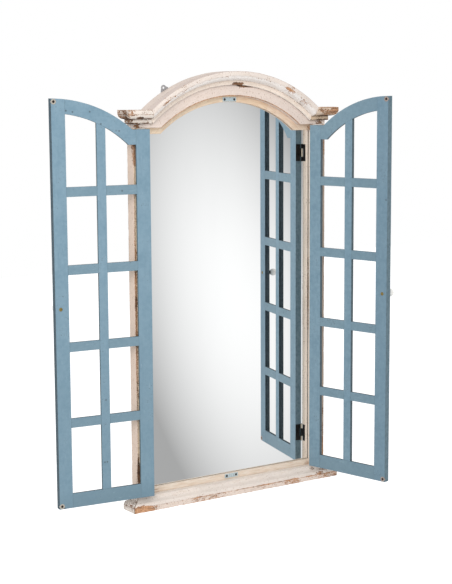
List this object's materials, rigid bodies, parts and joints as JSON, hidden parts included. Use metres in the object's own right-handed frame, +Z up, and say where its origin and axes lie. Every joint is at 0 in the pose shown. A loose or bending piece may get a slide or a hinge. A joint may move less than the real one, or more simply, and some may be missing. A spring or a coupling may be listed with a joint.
{
  "type": "arched shutter mirror",
  "caption": "Arched wall mirror in a worn cream frame with a moulded crown and sill, closed by a pair of hinged grey-blue window shutters with open lights and small round knobs.",
  "frame": {"origin": "on the wall plane, midway between the two hanging screws behind the arch", "axes": "+Z up, +X to the viewer's right, +Y into the wall; the glass faces the room on the -Y side"},
  "size_m": [0.7769, 0.2772, 1.0039],
  "materials": {
    "whitewash": "worn cream paint with brown wood showing at the edges",
    "blue_paint": "satin grey-blue paint, lightly marked",
    "pine": "clear matt pine",
    "mirror": "polished",
    "fibreboard": "raw hardboard",
    "black_iron": "black, satin",
    "nickel": "bright nickel plate",
    "magnet_cup": "bright nickel plate",
    "ceramic": "glazed white",
    "dark_steel": "dull, darkened",
    "zinc": "dull zinc plate"
  },
  "bodies": {
    "frame": {"left_stile": "whitewash", "right_stile": "whitewash", "head_board": "whitewash", "bottom_rail": "whitewash", "crown_moulding": "whitewash", "left_ear_moulding": "whitewash", "right_ear_moulding": "whitewash", "sill_moulding": "whitewash", "sill_returns": "whitewash", "arch_stop_left": "pine", "arch_stop_middle": "pine", "arch_stop_right": "pine", "bottom_stop": "pine", "mirror_glass": "mirror", "back_board": "fibreboard", "glazing_points": "zinc", "left_hanging_plate": "dark_steel", "right_hanging_plate": "dark_steel", "hanging_plate_screws": "zinc", "top_strike_plate": "nickel", "bottom_strike_plate": "nickel", "strike_plate_screws": "dark_steel", "left_upper_frame_leaf": "black_iron", "left_lower_frame_leaf": "black_iron", "right_upper_frame_leaf": "black_iron", "right_lower_frame_leaf": "black_iron", "upper_hinge_pins": "black_iron", "frame_leaf_screws": "black_iron"},
    "left_shutter": {"left_hinge_stile": "blue_paint", "left_meeting_stile": "blue_paint", "left_top_rail": "blue_paint", "left_bottom_rail": "blue_paint", "left_mullion": "blue_paint", "left_cross_bars": "blue_paint", "left_magnets": "magnet_cup", "left_magnet_screws": "dark_steel", "left_knob_ball": "ceramic", "left_knob_ferrule": "black_iron", "left_knob_screw": "dark_steel", "left_upper_shutter_leaf": "black_iron", "left_lower_shutter_leaf": "black_iron", "left_lower_hinge_pin": "black_iron", "left_leaf_screws": "black_iron"},
    "right_shutter": {"right_hinge_stile": "blue_paint", "right_meeting_stile": "blue_paint", "right_top_rail": "blue_paint", "right_bottom_rail": "blue_paint", "right_mullion": "blue_paint", "right_cross_bars": "blue_paint", "right_magnets": "magnet_cup", "right_magnet_screws": "dark_steel", "right_knob_ball": "ceramic", "right_knob_ferrule": "black_iron", "right_knob_screw": "dark_steel", "right_upper_shutter_leaf": "black_iron", "right_lower_shutter_leaf": "black_iron", "right_lower_hinge_pin": "black_iron", "right_leaf_screws": "black_iron"}
  },
  "joints": [
    {"name": "left_shutter_hinge", "type": "hinge", "parent": "frame", "child": "left_shutter", "pos_m": [-0.2349, -0.03065, -0.86087], "axis": [0, 0, -1], "range_deg": [-186, 0]},
    {"name": "right_shutter_hinge", "type": "hinge", "parent": "frame", "child": "right_shutter", "pos_m": [0.2349, -0.03065, -0.86087], "axis": [0, 0, 1], "range_deg": [-103.2, 82.8]}
  ]
}
